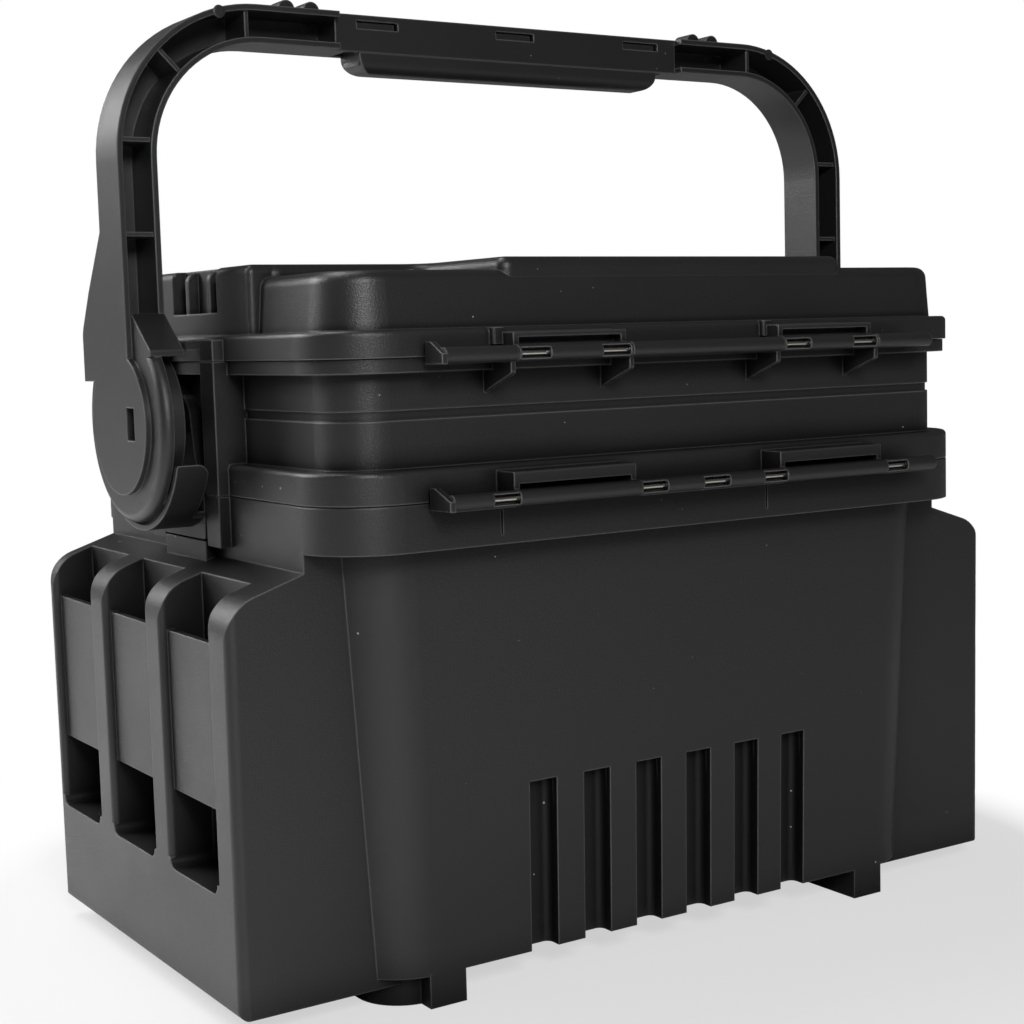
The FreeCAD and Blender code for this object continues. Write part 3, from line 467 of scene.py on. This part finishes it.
@dataclass
class Studio:
    """Camera at the photograph's place, soft lamps and a pale floor."""

    azimuth: float = 147.2
    elevation: float = 5.66
    roll: float = -1.61
    distance: float = 1.02275
    target: Vector = field(default_factory=lambda: Vector((0.00634, -0.0041, 0.21824)))
    focal_px: float = 1795.26
    frame_px: float = 1024.0
    sensor: float = 36.0
    farthest: float = 30.0
    world_light: float = 0.06
    floor_half: float = 6.0
    floor_drop: float = 0.4 * MM
    floor_colour: Colour = (0.92, 0.92, 0.92)
    floor_roughness: float = 0.6
    floor_lift: float = 0.6
    fade_near: float = 0.24
    fade_far: float = 0.37
    lamps: tuple[Lamp, ...] = (
        Lamp("camera_lamp", (0.6, 1.5, 0.95), (0.4, 0.4), 13.5),
        Lamp("end_lamp", (1.5, -1.9, 0.3), (1.8, 0.5), 1.5),
        Lamp("top_lamp", (0.45, -0.6, 2.0), (1.4, 0.5), 13.0),
        Lamp("floor_lamp", (1.1, -1.1, 1.0), (0.8, 0.8), 21.0, (0.6, -0.5, 0.0)),
    )

    def camera(self) -> bpy.types.Object:
        """Places the camera on the line from the target at the azimuth and elevation.

        Returns:
            The camera.
        """
        turn = math.radians(self.azimuth)
        lift = math.radians(self.elevation)
        back = Vector(
            (
                math.sin(turn) * math.cos(lift),
                -math.cos(turn) * math.cos(lift),
                math.sin(lift),
            )
        )
        right = (-back).cross(UP).normalized()
        up = right.cross(-back)
        tilt = math.radians(self.roll)
        side = math.cos(tilt) * right + math.sin(tilt) * up
        top = math.cos(tilt) * up - math.sin(tilt) * right
        lens = bpy.data.cameras.new("camera")
        lens.sensor_width = self.sensor
        lens.lens = self.focal_px / self.frame_px * self.sensor
        lens.clip_end = self.farthest
        camera = bpy.data.objects.new("camera", lens)
        place = Matrix((side, top, back)).transposed().to_4x4()
        place.translation = self.target + back * self.distance
        camera.matrix_world = place
        bpy.context.scene.collection.objects.link(camera)
        bpy.context.scene.camera = camera
        return camera

    def world(self) -> None:
        """A dim even world that the camera alone sees as white."""
        world = bpy.data.worlds.new("world")
        bpy.context.scene.world = world
        world.use_nodes = True
        links = Links(world.node_tree)
        world.node_tree.nodes.clear()
        path = links.add("ShaderNodeLightPath")
        seen = links.add("ShaderNodeBackground", Color=WHITE, Strength=1.0)
        lit = links.add("ShaderNodeBackground", Color=WHITE, Strength=self.world_light)
        mix = links.add("ShaderNodeMixShader")
        out = links.add("ShaderNodeOutputWorld")
        links.join(path.outputs["Is Camera Ray"], mix.inputs["Fac"])
        links.join(lit.outputs["Background"], mix.inputs[1])
        links.join(seen.outputs["Background"], mix.inputs[2])
        links.join(mix.outputs["Shader"], out.inputs["Surface"])

    def floor(self) -> None:
        """A wide pale floor just under the feet."""
        turns = ((-1.0, -1.0), (1.0, -1.0), (1.0, 1.0), (-1.0, 1.0))
        corners = [(x * self.floor_half, y * self.floor_half, -self.floor_drop) for x, y in turns]
        mesh = bpy.data.meshes.new("floor")
        mesh.from_pydata(corners, [], [(0, 1, 2, 3)])
        floor = bpy.data.objects.new("floor", mesh)
        bpy.context.scene.collection.objects.link(floor)
        mesh.materials.append(self.floor_paint())

    def floor_paint(self) -> bpy.types.Material:
        """Pale floor that the camera sees lifted towards white, and as plain white away from the box.

        Returns:
            The material.
        """
        material = bpy.data.materials.new("floor_paint")
        material.use_nodes = True
        links = Links(material.node_tree)
        surface = material.node_tree.nodes["Principled BSDF"]
        surface.inputs["Base Color"].default_value = (*self.floor_colour, 1.0)
        surface.inputs["Roughness"].default_value = self.floor_roughness
        place = links.add("ShaderNodeTexCoord")
        away = links.add("ShaderNodeVectorMath", operation="LENGTH")
        links.join(place.outputs["Object"], away.inputs[0])
        fade = links.add("ShaderNodeMapRange", interpolation_type="SMOOTHSTEP")
        fade.inputs["From Min"].default_value = self.fade_near
        fade.inputs["From Max"].default_value = self.fade_far
        links.join(away.outputs["Value"], fade.inputs["Value"])
        path = links.add("ShaderNodeLightPath")
        pale = links.math("MAXIMUM", fade.outputs["Result"], self.floor_lift)
        seen = links.math("MULTIPLY", pale, path.outputs["Is Camera Ray"])
        white = links.add("ShaderNodeEmission", Color=WHITE, Strength=1.0)
        mix = links.add("ShaderNodeMixShader")
        out = material.node_tree.nodes["Material Output"]
        links.join(seen, mix.inputs["Fac"])
        links.join(surface.outputs["BSDF"], mix.inputs[1])
        links.join(white.outputs["Emission"], mix.inputs[2])
        links.join(mix.outputs["Shader"], out.inputs["Surface"])
        return material

    def build(self) -> None:
        """Sets up the camera, the lamps, the world and the floor."""
        bpy.context.scene.view_settings.view_transform = "Standard"
        self.camera()
        for lamp in self.lamps:
            lamp.build()
        self.world()
        self.floor()


@dataclass(frozen=True)
class Ray:
    """A straight line that finds a place on a carried node."""

    start: Vector
    direction: Vector


@dataclass(frozen=True)
class EjectorMark:
    """Low round mark that an ejector pin of the mould leaves on a hidden face."""

    radius: float = 3.2 * MM
    height: float = 0.25 * MM
    sunk: float = 0.05 * MM
    edge_power: int = 6
    dish_share: float = 1.0 / 3.0
    rings: int = 6
    sides: int = 36

    def surface(self, place: Vector, normal: Vector) -> Surface:
        """Points and faces of one mark.

        At distance r from the middle of a mark of radius R, the height is h times
        (1 - (r / R) ** edge_power), so the top is almost flat and the edge falls off roundly. Over
        the inner half it is dished by dish_share times h times the cosine of pi times r / R.

        Args:
            place: the middle of the mark on the moulding.
            normal: the outward direction of the moulding there.

        Returns:
            The points in rows and the faces.
        """
        share = np.linspace(0.0, 1.0, self.rings + 1)
        turn = np.linspace(0.0, 2.0 * math.pi, self.sides, endpoint=False)
        dish = self.dish_share * np.where(share < 0.5, np.cos(math.pi * share), 0.0)
        rise = self.height * (1.0 - share**self.edge_power - dish) - self.sunk
        side = normal.orthogonal().normalized()
        up = normal.cross(side)
        axes = np.array([side, up, normal])
        points = []
        for ring, level in zip(share[1:], rise[1:]):
            flat = self.radius * ring * np.stack([np.cos(turn), np.sin(turn)], axis=1)
            local = np.column_stack([flat, np.full(self.sides, level)])
            points.append(np.array(place) + local @ axes)
        middle = np.array(place) + rise[0] * axes[2]
        stack = np.vstack([middle[None, :], *points])
        faces: list[tuple[int, ...]] = []
        for step in range(self.sides):
            following = (step + 1) % self.sides
            faces.append((0, 1 + step, 1 + following))
            for ring in range(self.rings - 1):
                low = 1 + ring * self.sides
                high = low + self.sides
                faces.append((low + step, high + step, high + following, low + following))
        return stack, faces


@dataclass(frozen=True)
class Ridge:
    """Low finger ridge across a latch."""

    half_length: float = 8.0 * MM
    half_width: float = 0.9 * MM
    height: float = 0.6 * MM
    sunk: float = 0.05 * MM
    end_power: int = 8
    steps_long: int = 24
    steps_wide: int = 8

    def surface(self, place: Vector) -> Surface:
        """Points and faces of one ridge on a face that looks along -Y.

        With u and v from -1 to 1 along and across it, the height is h times (1 - u ** end_power)
        times the cosine of a quarter turn times v, so the ridge is round across and blunt at its
        ends.

        Args:
            place: the middle of the ridge on the latch.

        Returns:
            The points in rows and the faces.
        """
        along = np.linspace(-1.0, 1.0, self.steps_long + 1)
        across = np.linspace(-1.0, 1.0, self.steps_wide + 1)
        u, v = np.meshgrid(along, across, indexing="ij")
        rise = self.height * (1.0 - u**self.end_power) * np.cos(math.pi / 2.0 * v) - self.sunk
        points = np.stack(
            [place.x + self.half_length * u, place.y - rise, place.z + self.half_width * v],
            axis=-1,
        ).reshape(-1, 3)
        width = self.steps_wide + 1
        faces = [
            (i * width + j, (i + 1) * width + j, (i + 1) * width + j + 1, i * width + j + 1)
            for i in range(self.steps_long)
            for j in range(self.steps_wide)
        ]
        return points, faces


class Sheet:
    """Gathers several computed surfaces into one object."""

    def __init__(self, name: str) -> None:
        """Starts empty.

        Args:
            name: the object's name.
        """
        self.name = name
        self.points: list[np.ndarray] = []
        self.faces: list[tuple[int, ...]] = []
        self.count = 0

    def add(self, points: np.ndarray, faces: list[tuple[int, ...]]) -> None:
        """Adds one surface.

        Args:
            points: its points in rows.
            faces: its faces, counted from its own first point.
        """
        self.faces.extend(tuple(index + self.count for index in face) for face in faces)
        self.points.append(points)
        self.count += len(points)

    def finish(self, body: str, material: bpy.types.Material, slot: Slot) -> bpy.types.Object:
        """Makes the object, smooth and in place.

        Args:
            body: the body that it rides on.
            material: its finish.
            slot: the record's slot that the finish belongs to.

        Returns:
            slot: the record's slot that the finish belongs to; not used.
        """
        mesh = bpy.data.meshes.new(self.name)
        mesh.from_pydata(np.vstack(self.points).tolist(), [], self.faces)
        mesh.polygons.foreach_set("use_smooth", [True] * len(mesh.polygons))
        mesh.materials.append(material)
        piece = bpy.data.objects.new(self.name, mesh)
        bpy.context.scene.collection.objects.link(piece)
        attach(piece, body)
        LOG.info("built %s with %d points on %s", self.name, self.count, body)
        return piece


def face_tree(node: bpy.types.Object) -> BVHTree:
    """Search tree of a carried node's faces, in the row frame.

    Args:
        node: the carried node.

    Returns:
        The tree.
    """
    mesh = node.data
    points = [point.co for point in mesh.vertices]
    return BVHTree.FromPolygons(points, [face.vertices for face in mesh.polygons])


def meet(tree: BVHTree, ray: Ray) -> tuple[Vector, Vector] | None:
    """First place where a line meets a carried node.

    Args:
        tree: the node's faces, as face_tree gives them.
        ray: the line.

    Returns:
        The place and the outward direction there, or None where the line misses.
    """
    place, normal, _, _ = tree.ray_cast(ray.start, ray.direction)
    if place is None:
        return None
    if normal.dot(ray.direction) > 0.0:
        normal = -normal
    return place, normal


@dataclass
class SubAssembly:
    """One sub-assembly: the finish of each carried node, and its own marks."""

    finishes: dict[str, bpy.types.Material]

    def dress(self, nodes: dict[str, bpy.types.Object]) -> None:
        """Puts each node's finish into its material slot.

        Args:
            nodes: the frame's carried nodes by name.
        """
        for name, finish in self.finishes.items():
            node = nodes[name]
            node.data.materials.clear()
            node.data.materials.append(finish)
            LOG.info("dressed %s with %s", name, finish.name)

    def build(self, nodes: dict[str, bpy.types.Object]) -> None:
        """Adds no piece of its own, unless the sub-assembly says otherwise."""

    def marks(self, node: bpy.types.Object, rays: list[Ray], body: Body) -> None:
        """Lays ejector marks where the rays meet a moulding.

        Args:
            node: the moulding.
            rays: one line for each mark.
            body: the body that the moulding belongs to.
        """
        sheet = Sheet(f"{node.name}_ejector_marks")
        mark = EjectorMark()
        tree = face_tree(node)
        for ray in rays:
            found = meet(tree, ray)
            if found is not None:
                sheet.add(*mark.surface(*found))
        sheet.finish(body.value, node.data.materials[0], Slot.MOULDING)


def grid(
    pitch: tuple[float, float], counts: tuple[int, int], height: float, direction: Vector
) -> list[Ray]:
    """Upright lines over a centred grid.

    Args:
        pitch: the spacing along X and Y.
        counts: how many lines along X and Y.
        height: where the lines start.
        direction: up or down.

    Returns:
        The lines.
    """
    rays = []
    for column in range(counts[0]):
        for row in range(counts[1]):
            x = (column - (counts[0] - 1) / 2.0) * pitch[0]
            y = (row - (counts[1] - 1) / 2.0) * pitch[1]
            rays.append(Ray(Vector((x, y, height)), direction))
    return rays


@dataclass
class Bucket(SubAssembly):
    """Bucket with its handle brackets, screws and pins."""

    mark_pitch: tuple[float, float] = (96.0 * MM, 74.0 * MM)
    mark_counts: tuple[int, int] = (4, 3)
    mark_start: float = 120.0 * MM

    def build(self, nodes: dict[str, bpy.types.Object]) -> None:
        """Lays ejector marks over the inside of the floor."""
        rays = grid(self.mark_pitch, self.mark_counts, self.mark_start, DOWN)
        self.marks(nodes["base_tub"], rays, Body.BASE)


@dataclass
class Tray(SubAssembly):
    """Tray with its dividers."""

    mark_pitch: tuple[float, float] = (88.0 * MM, 78.0 * MM)
    mark_counts: tuple[int, int] = (4, 3)
    mark_start: float = 275.0 * MM

    def build(self, nodes: dict[str, bpy.types.Object]) -> None:
        """Lays ejector marks over the inside of the tray's floor."""
        rays = grid(self.mark_pitch, self.mark_counts, self.mark_start, DOWN)
        self.marks(nodes["middle_tray"], rays, Body.TRAY)


@dataclass
class Lid(SubAssembly):
    """Seat lid."""

    mark_pitch: tuple[float, float] = (82.0 * MM, 70.0 * MM)
    mark_counts: tuple[int, int] = (4, 3)
    mark_start: float = 320.0 * MM

    def build(self, nodes: dict[str, bpy.types.Object]) -> None:
        """Lays ejector marks over the underside of the seat."""
        rays = grid(self.mark_pitch, self.mark_counts, self.mark_start, UP)
        self.marks(nodes["top_lid"], rays, Body.LID)


@dataclass
class Handle(SubAssembly):
    """Swing handle with its grip."""

    leg_middle: float = 10.2 * MM
    leg_marks: tuple[float, ...] = (348.0 * MM, 395.0 * MM, 438.0 * MM)
    bar_marks: tuple[float, ...] = (118.0 * MM, 152.0 * MM, 178.0 * MM)
    bar_middle: float = 9.5 * MM
    start: float = 40.0 * MM

    def build(self, nodes: dict[str, bpy.types.Object]) -> None:
        """Lays ejector marks on the floor of the channel, up both legs and along the bar."""
        low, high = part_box("handle_frame")
        middle = (low.x + high.x) / 2.0
        rays = []
        for side in (-1.0, 1.0):
            leg = middle + side * ((high.x - low.x) / 2.0 - self.leg_middle)
            rays += [Ray(Vector((leg, self.start, z)), FORWARD) for z in self.leg_marks]
            bar = high.z - self.bar_middle
            rays += [Ray(Vector((middle + side * x, self.start, bar)), FORWARD) for x in self.bar_marks]
        self.marks(nodes["handle_frame"], rays, Body.HANDLE)


@dataclass
class Latches(SubAssembly):
    """Four latches on the front, with their pins."""

    ridge_count: int = 3
    ridge_pitch: float = 3.2 * MM
    thumb_share: float = 0.55
    before: float = 20.0 * MM

    def build(self, nodes: dict[str, bpy.types.Object]) -> None:
        """Raises a few finger ridges on the thumb end of each latch."""
        for name in (key for key in self.finishes if "pin" not in key):
            low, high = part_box(name)
            sheet = Sheet(f"{name}_ridges")
            ridge = Ridge()
            tree = face_tree(nodes[name])
            thumb = low.z + self.thumb_share * (high.z - low.z)
            for step in range(self.ridge_count):
                z = thumb + (step - (self.ridge_count - 1) / 2.0) * self.ridge_pitch
                start = Vector(((low.x + high.x) / 2.0, low.y - self.before, z))
                found = meet(tree, Ray(start, REARWARD))
                if found is not None:
                    sheet.add(*ridge.surface(found[0]))
            sheet.finish(name, nodes[name].data.materials[0], Slot.LATCH)


@dataclass
class Hinges(SubAssembly):
    """Two bright hinge rods, shown as the frame carries them."""


class Paints:
    """The finishes of the box, made once from the shared groups."""

    def __init__(self) -> None:
        """Makes the shared groups and every finish."""
        trees = (mould_grain(), dust_specks(), edge_highlight(), painted_cavity_shade())
        groups = {tree.name: tree for tree in trees}
        black = (0.0195, 0.0195, 0.02)
        # pale grey of the painted highlight along edges
        highlight_grey = (0.22, 0.22, 0.22)
        # the reach given to each moulding sets how far its painted cavity shade spreads
        bucket = MouldedPlastic("bucket_moulding", black, highlight_grey, shade_reach=30.0 * MM)
        tray = MouldedPlastic("tray_moulding", black, highlight_grey, roughness=0.35)
        lid = MouldedPlastic("lid_moulding", black, highlight_grey, dust_share=0.11, shade_reach=4.0 * MM)
        handle = MouldedPlastic(
            "handle_moulding", black, highlight_grey, roughness=0.35, grain_scale=1500.0, shade_reach=1.0 * MM
        )
        latch = MouldedPlastic("latch_moulding", (0.022, 0.022, 0.023), (0.1, 0.1, 0.1), roughness=0.3)
        divider = MouldedPlastic("divider_moulding", (0.12, 0.12, 0.125), (0.2, 0.2, 0.2), roughness=0.5)
        self.bucket = bucket.build(groups)
        self.tray = tray.build(groups)
        self.lid = lid.build(groups)
        self.handle = handle.build(groups)
        self.latch = latch.build(groups)
        self.divider = divider.build(groups)
        self.steel = DrawnSteel("drawn_steel", (0.93, 0.90, 0.82)).build()


class SeatBox:
    """The whole box, as its sub-assemblies in order."""

    def __init__(self, frame: dict) -> None:
        """Keeps the frame's nodes and makes the sub-assemblies.
        """
        self.nodes = frame["nodes"]
        paints = Paints()
        ends = ("left", "right")
        bucket = {"base_tub": paints.bucket, "bracket_screws": paints.steel}
        bucket |= {f"handle_bracket_{end}": paints.bucket for end in ends}
        bucket |= {f"handle_pivot_pin_{end}": paints.handle for end in ends}
        tray = {"middle_tray": paints.tray}
        tray |= {name: paints.divider for name in ("tray_divider_long", "tray_dividers_cross")}
        latches = {f"{part}_latch_{end}": paints.latch for part in ("lid", "tray") for end in ends}
        latches |= {f"{part}_latch_pin_{end}": paints.steel for part in ("lid", "tray") for end in ends}
        self.parts = (
            Bucket(bucket),
            Tray(tray),
            Lid({"top_lid": paints.lid}),
            Handle({"handle_frame": paints.handle, "handle_grip": paints.handle}),
            Latches(latches),
            Hinges({"lower_hinge_rod": paints.steel, "upper_hinge_rod": paints.steel}),
        )

    def build(self) -> None:
        """Dresses each sub-assembly, then adds its own pieces."""
        for part in self.parts:
            part.dress(self.nodes)
            part.build(self.nodes)


def main() -> None:
    """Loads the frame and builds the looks."""
    logging.basicConfig(level=logging.INFO, format="%(name)s: %(message)s")
    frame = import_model()
    Studio().build()
    SeatBox(frame).build()


if __name__ == "__main__":
    main()
